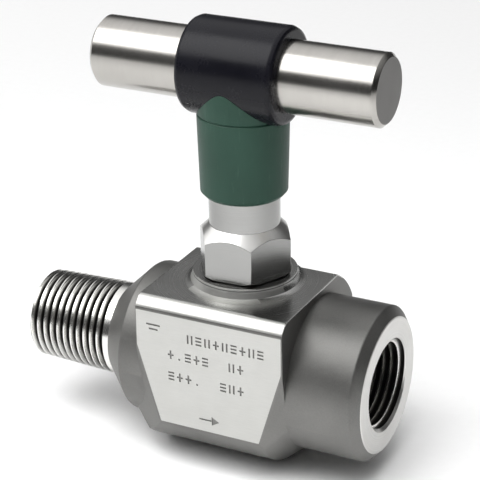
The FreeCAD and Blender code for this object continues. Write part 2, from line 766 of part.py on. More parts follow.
def handle_bar():
    blank = turned(
        "bar_blank",
        [
            ("-dims.bar_half", "0"),
            ("-dims.bar_half", "dims.bar_rad - dims.bar_bevel"),
            ("-dims.bar_half + dims.bar_bevel", "dims.bar_rad"),
            ("dims.bar_half - dims.bar_bevel", "dims.bar_rad"),
            ("dims.bar_half", "dims.bar_rad - dims.bar_bevel"),
            ("dims.bar_half", "0"),
        ],
        axis="H_Axis",
    )
    bind(blank, Placement__Base__z="dims.bar_z")
    return cut("handle_bar", blank, stem_hole("bar_stem_drill"), grub_hole("bar_grub_drill"))


def hub_set_screw():
    """A socket set screw that holds the hub, the bar and the stem together."""
    blank = rod(
        "grub_blank", "dims.grub_rad", "dims.grub_out - dims.grub_in",
        ("dims.stem_x", "dims.grub_in", "dims.bar_z"), Y_WAY,
    )
    socket = doc.addObject("Part::Prism", "grub_socket")
    socket.Polygon = 6
    bind(socket, Circumradius="dims.grub_af / sqrt(3)", Height="dims.grub_socket + dims.past")
    socket.Placement.Rotation = FreeCAD.Rotation(Z_WAY, Y_WAY)
    bind(socket, Placement__Base__x="dims.stem_x", Placement__Base__z="dims.bar_z")
    bind(socket, Placement__Base__y="dims.grub_out - dims.grub_socket")
    return cut("hub_set_screw", blank, socket)


pieces = [valve_body(), bonnet(), bonnet_seal(), bonnet_lock_pin()]
pieces += packing()
pieces += [gland_screw(), gland_lock_nut()]
pieces.append(
    wire_ring(
        "stem_wiper", "dims.screw_rad + dims.wiper_wire + dims.wiper_gap",
        "dims.wiper_wire", "dims.wiper_z",
    )
)
pieces += [stem(), needle_tip(), tip_ball()]
pieces.append(wire_ring("tip_retaining_ring", "dims.spigot_rad", "dims.wire_rad", "dims.wire_z"))
pieces.append(
    tube(
        "stem_circlip", "dims.clip_seat", "dims.clip_rad",
        "dims.clip_low", "dims.clip_low + dims.clip_thick",
    )
)
pieces += [dust_cap(), handle_hub(), handle_bar(), hub_set_screw()]
doc.recompute()

for thing in doc.Objects:
    if "Invalid" in thing.State or "Error" in thing.State:
        raise RuntimeError("%s did not rebuild: %s" % (thing.Label, thing.State))
for piece in pieces:
    if piece.Shape.isNull() or not piece.Shape.isValid() or piece.Shape.Volume <= 0:
        raise RuntimeError("%s has no sound shape" % piece.Label)

for piece in pieces:
    box = piece.Shape.BoundBox
    print(
        "%-20s solids %d  volume %9.2f  x %7.2f %7.2f  y %7.2f %7.2f  z %7.2f %7.2f"
        % (
            piece.Label, len(piece.Shape.Solids), piece.Shape.Volume,
            box.XMin, box.XMax, box.YMin, box.YMax, box.ZMin, box.ZMax,
        )
    )
    piece.Shape.exportStep("parts/%s.step" % piece.Label)
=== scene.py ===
import math

import bmesh
import bpy
from mathutils import Matrix, Vector


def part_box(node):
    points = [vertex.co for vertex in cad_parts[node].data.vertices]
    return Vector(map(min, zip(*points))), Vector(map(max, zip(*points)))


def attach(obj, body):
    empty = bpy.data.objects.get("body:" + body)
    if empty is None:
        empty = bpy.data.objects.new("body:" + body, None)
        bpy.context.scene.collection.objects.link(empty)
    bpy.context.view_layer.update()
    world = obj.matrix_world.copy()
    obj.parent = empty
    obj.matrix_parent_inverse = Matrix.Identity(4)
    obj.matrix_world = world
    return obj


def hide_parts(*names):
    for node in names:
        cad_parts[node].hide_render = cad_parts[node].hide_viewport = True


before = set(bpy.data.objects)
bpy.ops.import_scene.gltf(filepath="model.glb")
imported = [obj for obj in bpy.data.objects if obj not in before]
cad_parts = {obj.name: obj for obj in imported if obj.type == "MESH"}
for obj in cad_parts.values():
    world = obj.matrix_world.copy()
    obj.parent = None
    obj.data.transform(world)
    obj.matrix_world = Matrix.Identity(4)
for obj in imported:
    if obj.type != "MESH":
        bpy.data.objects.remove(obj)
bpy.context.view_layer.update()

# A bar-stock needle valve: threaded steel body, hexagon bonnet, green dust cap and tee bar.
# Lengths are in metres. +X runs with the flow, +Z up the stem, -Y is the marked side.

MM = 0.001
TURN = 2 * math.pi

# Where things are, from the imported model
body_low, body_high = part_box("valve_body")
bar_low, bar_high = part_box("handle_bar")
stem_low, stem_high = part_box("stem")
stem_x = (stem_low.x + stem_high.x) / 2
face_x = body_high.x
flat_y = body_low.y
floor_z = body_low.z

# Half-inch taper pipe thread
PITCH = 25.4 / 14 * MM
TAPER = 1 / 32
MALE_RADIUS = 10.36 * MM
MALE_END = 22.3 * MM
FEMALE_RADIUS = 9.62 * MM
FEMALE_MOUTH = face_x - 1.15 * MM
FEMALE_END = face_x - 19.4 * MM
CREST_FLAT = 0.30 * MM
HALF_VEE = math.radians(30)
VEE_DEPTH = (PITCH - CREST_FLAT) / 2 / math.tan(HALF_VEE)
VEE_SPARE = 0.2 * MM
STEPS_PER_TURN = 96

# The body's plain shape, and how its edges are softened
MALE_WALL = 10.6 * MM
FEMALE_WALL = 9.6 * MM
INLET_BEVEL = 0.8 * MM
BLOCK_HALF = 18.0 * MM
BAND_EASE = 0.75 * MM
BODY_EASE = 0.30 * MM
CROWDED = 0.25 * MM

# Places that tell the body's edges and faces apart
SAME_PLANE = 0.02 * MM
NEAR_RING = 0.05 * MM
NEAR_END = 0.1 * MM
OUTSIDE_RADIUS = 15.0 * MM
CLEAR_OF_THREAD = 1.0 * MM
CLEAR_OF_PAD = 11.6 * MM
LEVEL_STRIP = 5.0 * MM
BAND_LOW = 15.0 * MM
BAND_DEPTH = 2.3 * MM
BAND_HIGH = 19.2 * MM
BAND_HALF = 16.0 * MM
TOP_LOW = 17.0 * MM
TOP_HALF = 18.1 * MM
FACE_RING = 0.3 * MM
INLET_WAY = 5.0 * MM
WAYS_RADIUS = 10.9 * MM

# Thread tools: turns swept and where they start
MALE_TURNS = 13
MALE_START = -1.6 * PITCH
MALE_ROLL = math.radians(150)
FEMALE_TURNS = 11
FEMALE_START = FEMALE_MOUTH - 15.5 * MM

# Bonnet hexagon
HEX_LOW = 22.2 * MM
HEX_HIGH = 33.4 * MM
HEX_BEVEL = 3.2 * MM
HEX_INSIDE = 8.5 * MM
BEVEL_INSIDE = 8.2 * MM

# Merging and softening meshes
SEAM_REACH = 0.5e-6
SHORTEST_EDGE = 1e-6
FLAT_ANGLE = math.radians(0.4)

# Stamped marks, in millimetres except the depth
STAMP_DEPTH = 0.18 * MM
STROKE = 0.40
MARK_HEIGHT = 2.1
MARK_WIDTH = 1.45
MARK_STEP = 2.15
TICK_GAP = 0.5
DASH_GAP = 0.84
DOT_DROP = 0.8
ARROW_SIZE = 1.25
ARROW_LEVEL = -7.6
ARROW_TIP = 1.3
# height, start along the flow, and one letter a mark: Tick pair, cross X, three Lines, dot
MARK_ROWS = (
    (11.6, -4.3, "TLTXTLXTL"),
    (6.9, -9.2, "X.LXL  TX"),
    (1.6, -9.2, "LXX.  LTX"),
)
# loose dashes: along the flow, height, length, thickness; the last is the arrow's shaft
LOOSE_DASHES = (
    (-13.4, 13.4, 3.4, STROKE),
    (-13.4, 12.3, 2.2, STROKE),
    (-0.9, ARROW_LEVEL, 3.0, STROKE),
)


# ---------------------------------------------------------------- shader maths

class Wire:
    """A socket's value, so that shader maths reads as sums."""

    def __init__(self, paint, socket):
        self.paint = paint
        self.socket = socket

    def sum_of(self, operation, first, second):
        return self.paint.node("ShaderNodeMath", {"operation": operation}, {0: first, 1: second})

    def __add__(self, other):
        return self.sum_of("ADD", self, other)

    __radd__ = __add__

    def __sub__(self, other):
        return self.sum_of("SUBTRACT", self, other)

    def __rsub__(self, other):
        return self.sum_of("SUBTRACT", other, self)

    def __mul__(self, other):
        return self.sum_of("MULTIPLY", self, other)

    __rmul__ = __mul__

    def __truediv__(self, other):
        return self.sum_of("DIVIDE", self, other)

    def __rtruediv__(self, other):
        return self.sum_of("DIVIDE", other, self)

    def over(self, limit, spread):
        """0 below limit and 1 above it, over that spread."""
        return self.paint.node(
            "ShaderNodeMapRange", {"interpolation_type": "SMOOTHSTEP"},
            {"Value": self, "From Min": limit - spread, "From Max": limit + spread},
        )


class Paint:
    """A material and the one way its nodes are added."""

    def __init__(self, name):
        self.material = bpy.data.materials.new(name)
        self.material.use_nodes = True
        self.tree = self.material.node_tree
        self.tree.nodes.clear()
        self.place = self.node("ShaderNodeTexCoord", {}, {}, "Object")

    def node(self, kind, settings, sockets, output=0):
        made = self.tree.nodes.new(kind)
        for name, value in settings.items():
            setattr(made, name, value)
        for name, value in sockets.items():
            if isinstance(value, Wire):
                self.tree.links.new(value.socket, made.inputs[name])
            else:
                made.inputs[name].default_value = value
        return Wire(self, made.outputs[output]) if len(made.outputs) else None

    def axes(self):
        split = self.node("ShaderNodeSeparateXYZ", {}, {0: self.place})
        outputs = split.socket.node.outputs
        return [Wire(self, outputs[i]) for i in range(3)]

    def stretched(self, x, y, z):
        return self.node("ShaderNodeVectorMath", {"operation": "MULTIPLY"}, {0: self.place, 1: (x, y, z)})

    def noise(self, scale, detail=2.0, rough=0.5, place=None):
        return self.node(
            "ShaderNodeTexNoise", {},
            {"Vector": place or self.place, "Scale": scale, "Detail": detail, "Roughness": rough},
        )

    def lines(self, along, scale, detail=3.0):
        """Noise that changes along one measure only, such as a radius."""
        return self.node(
            "ShaderNodeTexNoise", {"noise_dimensions": "1D"},
            {"W": along, "Scale": scale, "Detail": detail, "Roughness": 0.7},
        )

    def mixed(self, factor, first, second):
        mix = self.tree.nodes.new("ShaderNodeMix")
        mix.data_type = "RGBA"
        self.tree.links.new(factor.socket, mix.inputs["Factor"])
        for name, value in (("A", first), ("B", second)):
            target = [s for s in mix.inputs if s.name == name and s.type == "RGBA"][0]
            if isinstance(value, Wire):
                self.tree.links.new(value.socket, target)
            else:
                target.default_value = (*value, 1.0)
        return Wire(self, [s for s in mix.outputs if s.type == "RGBA"][0])

    def radius(self, centre, axis):
        """Distance from a line through centre, along axis 0, 1 or 2."""
        moved = self.node("ShaderNodeVectorMath", {"operation": "SUBTRACT"}, {0: self.place, 1: centre})
        keep = [0.0 if i == axis else 1.0 for i in range(3)]
        across = self.node("ShaderNodeVectorMath", {"operation": "MULTIPLY"}, {0: moved, 1: keep})
        return self.node("ShaderNodeVectorMath", {"operation": "LENGTH"}, {0: across}, "Value")

    def bumped(self, height, strength, distance):
        return self.node(
            "ShaderNodeBump", {}, {"Height": height, "Strength": strength, "Distance": distance}
        )

    def shaded(self, sockets):
        shader = self.node("ShaderNodeBsdfPrincipled", {}, sockets)
        self.node("ShaderNodeOutputMaterial", {}, {"Surface": shader})
        return self.material

    def finished(self, colour, rough, normal, metallic=1.0, specular=0.5):
        """The material in steel, or in a dielectric where metallic is 0."""
        return self.shaded({
            "Base Color": colour, "Metallic": metallic, "Roughness": rough,
            "Specular IOR Level": specular, "Normal": normal,
        })


# ---------------------------------------------------------------- finishes

def blasted_steel():
    """Dull bead-blasted grey of the turned ends."""
    paint = Paint("blasted_steel")
    cloud = paint.noise(70, 4.0)
    grain = paint.noise(3200, 3.0, 0.7)
    pits = paint.noise(900, 2.0)
    tone = (cloud - 0.5) * 0.9 + (grain - 0.5) * 0.7 + 0.5
    colour = paint.mixed(tone, (0.12, 0.12, 0.115), (0.26, 0.257, 0.248))
    rough = (grain - 0.5) * 0.25 + (cloud - 0.5) * 0.15 + 0.50
    normal = paint.bumped(grain + pits * 0.8, 0.35, 0.00006)
    return paint.finished(colour, rough, normal)


def brushed_flat_steel():
    """Pale flat, ground with fine lines along the flow."""
    paint = Paint("ground_flat_steel")
    cloud = paint.noise(110, 3.0)
    streak = paint.noise(1.0, 4.0, 0.65, paint.stretched(260, 3000, 5200))
    tone = (cloud - 0.5) * 0.55 + (streak - 0.5) * 0.5 + 0.6
    colour = paint.mixed(tone, (0.39, 0.39, 0.374), (0.60, 0.60, 0.58))
    rough = (streak - 0.5) * 0.2 + (cloud - 0.5) * 0.15 + 0.42
    normal = paint.bumped(streak, 0.18, 0.00003)
    return paint.finished(colour, rough, normal)


def milled_top_steel():
    """Top flat and bonnet pad, with the arcs that a facing cutter leaves."""
    paint = Paint("milled_top_steel")
    cloud = paint.noise(90, 3.0)
    radius = paint.radius((stem_x, 0.0, 0.0), 2)
    arcs = paint.lines(radius, 2600)
    tone = (cloud - 0.5) * 0.6 + (arcs - 0.5) * 0.4 + 0.5
    colour = paint.mixed(tone, (0.32, 0.32, 0.312), (0.50, 0.50, 0.488))
    rough = (arcs - 0.5) * 0.14 + (cloud - 0.5) * 0.1 + 0.25
    normal = paint.bumped(arcs, 0.1, 0.00003)
    return paint.finished(colour, rough, normal)


def turned_end_steel():
    """Outlet face and chamfers, with rings from the lathe tool."""
    paint = Paint("turned_end_steel")
    cloud = paint.noise(120, 3.0)
    radius = paint.radius((0.0, 0.0, 0.0), 0)
    rings = paint.lines(radius, 2900)
    tone = (cloud - 0.5) * 0.4 + (rings - 0.5) * 0.7 + 0.5
    colour = paint.mixed(tone, (0.45, 0.445, 0.43), (0.74, 0.735, 0.715))
    rough = (rings - 0.5) * 0.2 + 0.32
    normal = paint.bumped(rings, 0.25, 0.00004)
    return paint.finished(colour, rough, normal)


def thread_steel(name, start, crest, slope, inward):
    """Thread flanks, bright at the crests, with painted shade darkening the roots."""
    paint = Paint(name)
    x, _, _ = paint.axes()
    radius = paint.radius((0.0, 0.0, 0.0), 0)
    line = (x - start) * slope + crest
    depth = (radius - line) / VEE_DEPTH if inward else (line - radius) / VEE_DEPTH
    cloud = paint.noise(260, 3.0)
    chatter = paint.lines(radius, 6000)
    # painted shade: the colour darkens with depth into the vee, down to a near-black root colour
    dark = (depth + (cloud - 0.5) * 0.35).over(0.36, 0.34)
    clean = paint.mixed(chatter, (0.70, 0.695, 0.67), (0.95, 0.945, 0.92))
    painted_root_shade = (0.15, 0.147, 0.14) if inward else (0.04, 0.038, 0.035)
    colour = paint.mixed(dark, clean, painted_root_shade)
    rough = dark * 0.2 + (chatter - 0.5) * 0.1 + 0.19
    normal = paint.bumped(chatter, 0.12, 0.00003)
    return paint.finished(colour, rough, normal)


def stamped_steel():
    """Bottoms of the stamped marks, painted dark as shade in the recesses."""
    paint = Paint("stamped_mark_painted_shade")
    cloud = paint.noise(1500, 3.0)
    # painted shade: the stamp bottoms get a darker grey than the flat round them
    colour = paint.mixed(cloud, (0.16, 0.16, 0.155), (0.34, 0.335, 0.32))
    rough = cloud * 0.2 + 0.5
    normal = paint.bumped(cloud, 0.3, 0.00005)
    return paint.finished(colour, rough, normal, metallic=0.7)


def bonnet_steel():
    """Bright machined hexagon and neck, with rings round the stem."""
    paint = Paint("machined_bonnet_steel")
    _, _, z = paint.axes()
    cloud = paint.noise(150, 3.0)
    radius = paint.radius((stem_x, 0.0, 0.0), 2)
    rings = paint.lines(radius * 0.6 + z, 3400)
    tone = (cloud - 0.5) * 0.4 + (rings - 0.5) * 0.5 + 0.5
    colour = paint.mixed(tone, (0.23, 0.23, 0.225), (0.38, 0.38, 0.372))
    rough = (rings - 0.5) * 0.14 + (cloud - 0.5) * 0.1 + 0.21
    normal = paint.bumped(rings, 0.16, 0.00003)
    return paint.finished(colour, rough, normal)


def bar_steel():
    """Centreless-ground bar: fine rings round it and a few handling marks."""
    paint = Paint("ground_bar_steel")
    x, _, _ = paint.axes()
    cloud = paint.noise(95, 4.0)
    rings = paint.lines(x, 4200)
    rub = paint.noise(1.0, 3.0, 0.6, paint.stretched(1400, 220, 220))
    tone = (cloud - 0.5) * 0.5 + (rings - 0.5) * 0.4 + (rub - 0.5) * 0.3 + 0.5
    colour = paint.mixed(tone, (0.32, 0.309, 0.29), (0.50, 0.486, 0.462))
    rough = (rings - 0.5) * 0.14 + (cloud - 0.5) * 0.10 + 0.21
    normal = paint.bumped(rings + rub * 0.4, 0.16, 0.00003)
    return paint.finished(colour, rough, normal)


def bar_end_steel():
    """Faced end of the bar, with rings round its axis, its steel painted much darker than the bar as
    painted shade.
    """
    paint = Paint("faced_bar_end_shaded_steel")
    middle_z = (bar_low.z + bar_high.z) / 2
    radius = paint.radius((0.0, 0.0, middle_z), 0)
    rings = paint.lines(radius, 3400)
    cloud = paint.noise(160, 3.0)
    tone = (cloud - 0.5) * 0.5 + (rings - 0.5) * 0.5 + 0.5
    # painted shade: this end steel is far darker than the same bar steel on the round
    colour = paint.mixed(tone, (0.07, 0.068, 0.065), (0.17, 0.166, 0.158))
    rough = (rings - 0.5) * 0.2 + 0.33
    normal = paint.bumped(rings, 0.22, 0.00004)
    return paint.finished(colour, rough, normal)


def hub_black():
    """Black painted hub with a fine orange-peel skin."""
    paint = Paint("black_hub_paint")
    cloud = paint.noise(120, 3.0)
    skin = paint.noise(1500, 2.0)
    colour = paint.mixed(cloud, (0.003, 0.003, 0.005), (0.009, 0.009, 0.013))
    rough = (cloud - 0.5) * 0.2 + (skin - 0.5) * 0.1 + 0.26
    normal = paint.bumped(skin, 0.2, 0.00006)
    return paint.finished(colour, rough, normal, metallic=0.0, specular=0.18)


def cap_green():
    """Dark green moulded plastic, slightly mottled and matt."""
    paint = Paint("green_moulded_cap")
    cloud = paint.noise(95, 4.0)
    skin = paint.noise(2200, 2.0)
    scuff = paint.noise(1.0, 3.0, 0.6, paint.stretched(900, 900, 130)).over(0.66, 0.08)
    body = paint.mixed(cloud, (0.016, 0.046, 0.032), (0.032, 0.080, 0.058))
    colour = paint.mixed(scuff * 0.35, body, (0.06, 0.12, 0.09))
    rough = (cloud - 0.5) * 0.2 + (skin - 0.5) * 0.15 + 0.45
    normal = paint.bumped(skin, 0.25, 0.00006)
    return paint.finished(colour, rough, normal, metallic=0.0, specular=0.2)


def inner_steel(name, dark, light, base_rough):
    """Bright turned steel of the small parts round the stem."""
    paint = Paint(name)
    radius = paint.radius((stem_x, 0.0, 0.0), 2)
    _, _, z = paint.axes()
    rings = paint.lines(radius + z, 4200)
    cloud = paint.noise(300, 2.0)
    colour = paint.mixed((rings - 0.5) * 0.6 + (cloud - 0.5) * 0.5 + 0.5, dark, light)
    rough = (rings - 0.5) * 0.2 + base_rough
    normal = paint.bumped(rings, 0.15, 0.00003)
    return paint.finished(colour, rough, normal)


def soft_stuff(name, dark, light, base_rough, scale):
    """Pressed packing, seal or rubber, with a grained skin."""
    paint = Paint(name)
    cloud = paint.noise(scale, 3.0)
    skin = paint.noise(scale * 9, 2.0)
    colour = paint.mixed(cloud, dark, light)
    rough = (skin - 0.5) * 0.2 + base_rough
    normal = paint.bumped(skin, 0.25, 0.00005)
    return paint.finished(colour, rough, normal, metallic=0.0)


# ---------------------------------------------------------------- modelling by hand

def take(piece):
    """Selects one piece and nothing else."""
    bpy.ops.object.select_all(action="DESELECT")
    piece.select_set(True)
    bpy.context.view_layer.objects.active = piece


def modified(piece, kind, **settings):
    """Adds a modifier with those settings and applies it."""
    take(piece)
    modifier = piece.modifiers.new(kind.lower(), kind)
    for name, value in settings.items():
        setattr(modifier, name, value)
    bpy.ops.object.modifier_apply(modifier=modifier.name)


def picked_vertices(piece, test):
    """Enters edit mode with the vertices selected whose place passes the test."""
    take(piece)
    bpy.ops.object.mode_set(mode="EDIT")
    bpy.ops.mesh.select_mode(type="VERT")
    bpy.ops.mesh.select_all(action="DESELECT")
    bpy.ops.object.mode_set(mode="OBJECT")
    for vertex in piece.data.vertices:
        vertex.select = test(vertex.co)
    bpy.ops.object.mode_set(mode="EDIT")


def left_edit():
    bpy.ops.object.mode_set(mode="OBJECT")


def merged_copy(node, name):
    """A copy of a CAD node's shape with its seams closed and its flats made whole."""
    piece = bpy.data.objects.new(name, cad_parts[node].data.copy())
    bpy.context.scene.collection.objects.link(piece)
    piece.data.name = name
    piece.data.materials.clear()
    take(piece)
    bpy.ops.object.mode_set(mode="EDIT")
    bpy.ops.mesh.customdata_custom_splitnormals_clear()
    bpy.ops.mesh.select_all(action="SELECT")
    bpy.ops.mesh.remove_doubles(threshold=SEAM_REACH)
    bpy.ops.mesh.dissolve_limited(angle_limit=FLAT_ANGLE)
    bpy.ops.mesh.normals_make_consistent(inside=False)
    left_edit()
    return piece


def tidied(piece, test, reach):
    """Merges the crowded vertices that pass the test, so that a bevel runs clean past them."""
    picked_vertices(piece, test)
    bpy.ops.mesh.remove_doubles(threshold=reach)
    bpy.ops.mesh.select_all(action="SELECT")
    bpy.ops.mesh.dissolve_degenerate(threshold=SHORTEST_EDGE)
    bpy.ops.mesh.dissolve_limited(angle_limit=FLAT_ANGLE)
    left_edit()


def outward_edges(piece):
    """Numbers of the edges that stick out, and not the ones in inner corners."""
    shape = bmesh.new()
    shape.from_mesh(piece.data)
    found = {edge.index for edge in shape.edges if edge.is_convex}
    shape.free()
    return found


def eased(piece, width, angle=30, segments=2, test=None, clamped=True):
    """Rounds the outward edges sharper than angle, where the test on an edge's middle passes."""
    take(piece)
    bpy.ops.object.mode_set(mode="EDIT")
    bpy.ops.mesh.select_mode(type="EDGE")
    bpy.ops.mesh.select_all(action="DESELECT")
    bpy.ops.mesh.edges_select_sharp(sharpness=math.radians(angle))
    left_edit()
    outward = outward_edges(piece)
    points = piece.data.vertices
    piece.data.polygons.foreach_set("select", [False] * len(piece.data.polygons))
    points.foreach_set("select", [False] * len(points))
    for edge in piece.data.edges:
        ends = [points[i].co for i in edge.vertices]
        passes = test is None or test((ends[0] + ends[1]) / 2)
        edge.select = edge.select and edge.index in outward and passes
    bpy.ops.object.mode_set(mode="EDIT")
    bpy.ops.mesh.bevel(
        offset=width, offset_type="OFFSET", segments=segments, profile=0.5,
        affect="EDGES", clamp_overlap=clamped,
    )
    left_edit()


def smoothed(piece, angle=32):
    """Smooth curves with flats that stay flat up to their eased edges."""
    take(piece)
    bpy.ops.object.shade_smooth_by_angle(angle=math.radians(angle))
    modified(piece, "WEIGHTED_NORMAL", keep_sharp=True, weight=60)


def coloured(piece, materials, choose):
    """Gives each face the material whose number choose() returns for its middle and normal."""
    for material in materials:
        piece.data.materials.append(material)
    for face in piece.data.polygons:
        face.material_index = choose(face.center, face.normal)


def cut_away(piece, cutter):
    modified(
        piece, "BOOLEAN", operation="DIFFERENCE", object=cutter, solver="EXACT",
        material_mode="TRANSFER",
    )
    bpy.data.objects.remove(cutter)


def vee_cutter(name, start, turns, crest, slope, inward, roll, material):
    """A three-sided thread tool swept along a helix, for cutting a tapered thread."""
    reach = VEE_DEPTH + VEE_SPARE
    half_width = reach * math.tan(HALF_VEE)
    side = 1 if inward else -1
    base = crest - slope * start - side * VEE_SPARE
    bpy.ops.object.select_all(action="DESELECT")
    bpy.ops.mesh.primitive_circle_add(vertices=3, radius=1.0, fill_type="NOTHING", location=(0, 0, 0))
    cutter = bpy.context.active_object
    cutter.name = name
    corners = [
        (start - half_width, 0.0, base),
        (start + half_width, 0.0, base),
        (start, 0.0, base + side * reach),
    ]
    for vertex, corner in zip(cutter.data.vertices, corners):
        vertex.co = corner
    modified(
        cutter, "SCREW", axis="X", angle=TURN, screw_offset=PITCH, iterations=turns,
        steps=STEPS_PER_TURN, render_steps=STEPS_PER_TURN, use_merge_vertices=False,
    )
    take(cutter)
    bpy.ops.object.mode_set(mode="EDIT")
    bpy.ops.mesh.select_all(action="SELECT")
    bpy.ops.mesh.remove_doubles(threshold=SEAM_REACH)
    bpy.ops.mesh.select_all(action="DESELECT")
    bpy.ops.mesh.select_mode(type="EDGE")
    bpy.ops.mesh.select_non_manifold()
    bpy.ops.mesh.fill()
    bpy.ops.mesh.select_all(action="SELECT")
    bpy.ops.mesh.normals_make_consistent(inside=False)
    bpy.ops.transform.rotate(value=roll, orient_axis="X", center_override=(0.0, 0.0, 0.0))
    left_edit()
    # the taper modifier widens a shape with its distance from x = 0
    axis_radius = crest - slope * start
    along = [vertex.co.x for vertex in cutter.data.vertices]
    modified(
        cutter, "SIMPLE_DEFORM", deform_method="TAPER", deform_axis="X",
        factor=(max(along) - min(along)) * slope / axis_radius,
    )
    cutter.data.materials.append(material)
    return cutter


# ---------------------------------------------------------------- body

male_paint = thread_steel("male_thread_steel", 0.0, MALE_RADIUS, TAPER, False)
female_paint = thread_steel("female_thread_steel", FEMALE_MOUTH, FEMALE_RADIUS, TAPER, True)
blasted = blasted_steel()
flat_paint = brushed_flat_steel()
top_paint = milled_top_steel()
end_paint = turned_end_steel()
stamp_paint = stamped_steel()


def around_flow(point):
    return math.hypot(point.y, point.z)


def around_stem(point):
    return math.hypot(point.x - stem_x, point.y)


def resized_ring(piece, x, old_radius, new_radius):
    """Opens or closes one turned edge of the body, at that x and radius."""

    def on_ring(point):
        return abs(point.x - x) < NEAR_RING and abs(around_flow(point) - old_radius) < NEAR_RING

    picked_vertices(piece, on_ring)
    ratio = new_radius / old_radius
    bpy.ops.transform.resize(value=(1.0, ratio, ratio), center_override=(0.0, 0.0, 0.0))
    left_edit()


def outer_edge(middle):
    """True for the body's outside edges, and not for its threads and ways."""
    on_outside = around_flow(middle) > OUTSIDE_RADIUS and middle.x > MALE_END + CLEAR_OF_THREAD
    on_chamber = around_stem(middle) < CLEAR_OF_PAD and middle.z > 0.0
    at_block_end = abs(abs(middle.x - stem_x) - BLOCK_HALF) < NEAR_END
    on_level_strip = at_block_end and abs(middle.z) < LEVEL_STRIP
    return on_outside and not on_chamber and not on_level_strip


def flat_edge(middle):
    """True for the long edges of the bevel above the marked flat."""
    on_flat = abs(middle.y - flat_y) < SAME_PLANE and middle.z > BAND_LOW
    on_top = middle.y < flat_y + BAND_DEPTH and middle.z > BAND_HIGH
    return (on_flat or on_top) and abs(middle.x - stem_x) < BAND_HALF


def body_face(middle, normal):
    """0 blasted, 1 ground flat, 2 milled top, 3 turned end, 4 male thread, 5 female thread."""
    around = around_flow(middle)
    if middle.x > face_x - FACE_RING:
        return 3
    if middle.x < MALE_END + SAME_PLANE and around > INLET_WAY:
        return 3 if normal.x < -0.9 else 4
    if abs(normal.y) > 0.99 and abs(abs(middle.y) + flat_y) < SAME_PLANE:
        return 1
    if middle.z > TOP_LOW and abs(middle.x - stem_x) < TOP_HALF and normal.z > 0.3:
        return 1 if normal.y < -0.3 else 2
    if middle.x > FEMALE_END and around < FEMALE_RADIUS + SAME_PLANE:
        return 5
    return 3 if around < WAYS_RADIUS else 0


def stamp_cutter(name, strokes):
    """One stamp for the flat, made of upright or level strokes that don't touch each other."""
    bpy.ops.object.select_all(action="DESELECT")
    made = []
    for along, up, length, height in strokes:
        bpy.ops.mesh.primitive_cube_add(size=1.0, location=(stem_x + along * MM, flat_y, up * MM))
        block = bpy.context.active_object
        block.scale = (length * MM, 2 * STAMP_DEPTH, height * MM)
        made.append(block)
    bpy.ops.object.select_all(action="DESELECT")
    for block in made:
        block.select_set(True)
    bpy.context.view_layer.objects.active = made[0]
    bpy.ops.object.transform_apply(location=True, rotation=True, scale=True)
    bpy.ops.object.join()
    cutter = bpy.context.active_object
    cutter.name = name
    cutter.data.materials.append(stamp_paint)
    return cutter


def arrow_head_cutter(along, up):
    """The head of the flow arrow."""
    bpy.ops.object.select_all(action="DESELECT")
    bpy.ops.mesh.primitive_cylinder_add(
        vertices=3, radius=ARROW_SIZE * MM, depth=2 * STAMP_DEPTH,
        location=(stem_x + along * MM, flat_y, up * MM),
        rotation=(math.radians(90), math.radians(90), 0.0),
    )
    bpy.ops.object.transform_apply(location=True, rotation=True, scale=True)
    cutter = bpy.context.active_object
    cutter.name = "arrow_head_tool"
    cutter.data.materials.append(stamp_paint)
    return cutter


def stamp_marks(piece):
    """Stamps rows of plain ticks, crosses, dashes and dots, and an arrow with the flow."""
    ticks = []
    dashes = list(LOOSE_DASHES)
    for up, start, pattern in MARK_ROWS:
        for place, shape in enumerate(pattern):
            along = start + MARK_STEP * place
            if shape == "T":
                ticks.append((along - TICK_GAP, up, STROKE, MARK_HEIGHT))
                ticks.append((along + TICK_GAP, up, STROKE, MARK_HEIGHT))
            elif shape == "X":
                ticks.append((along, up, STROKE, MARK_HEIGHT))
                dashes.append((along, up, MARK_WIDTH, STROKE))
            elif shape == "L":
                for side in (-DASH_GAP, 0.0, DASH_GAP):
                    dashes.append((along, up + side, MARK_WIDTH, STROKE))
            elif shape == ".":
                dashes.append((along, up - DOT_DROP, STROKE, STROKE))
    cut_away(piece, stamp_cutter("tick_tool", ticks))
    cut_away(piece, stamp_cutter("dash_tool", dashes))
    cut_away(piece, arrow_head_cutter(ARROW_TIP, ARROW_LEVEL))


def shaped_body():
    """The CAD body with softened corners, both pipe threads and the stamped marks."""
    piece = merged_copy("valve_body", "bar_stock_body")
    resized_ring(piece, INLET_BEVEL, MALE_WALL, MALE_RADIUS + TAPER * INLET_BEVEL)
    resized_ring(piece, MALE_END, MALE_WALL, MALE_RADIUS + TAPER * MALE_END)
    resized_ring(piece, FEMALE_END, FEMALE_WALL, FEMALE_RADIUS - TAPER * (FEMALE_MOUTH - FEMALE_END))
    tidied(piece, outer_edge, CROWDED)
    eased(piece, BAND_EASE, angle=25, segments=4, test=flat_edge, clamped=False)
    eased(piece, BODY_EASE, angle=25, segments=2, test=outer_edge, clamped=False)
    coloured(piece, [blasted, flat_paint, top_paint, end_paint, male_paint, female_paint], body_face)
    cut_away(piece, vee_cutter(
        "male_thread_tool", MALE_START, MALE_TURNS, MALE_RADIUS + TAPER * MALE_START,
        TAPER, False, MALE_ROLL, male_paint,
    ))
    cut_away(piece, vee_cutter(
        "female_thread_tool", FEMALE_START, FEMALE_TURNS,
        FEMALE_RADIUS - TAPER * (FEMALE_MOUTH - FEMALE_START), TAPER, True, 0.0, female_paint,
    ))
    stamp_marks(piece)
    return piece


def stands_for(piece, node, body):
    """Ties a finished piece to its body and hides the CAD node that it stands for."""
    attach(piece, body)
    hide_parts(node)


body_piece = shaped_body()
smoothed(body_piece)
stands_for(body_piece, "valve_body", "body")


# ---------------------------------------------------------------- camera, lights and floor

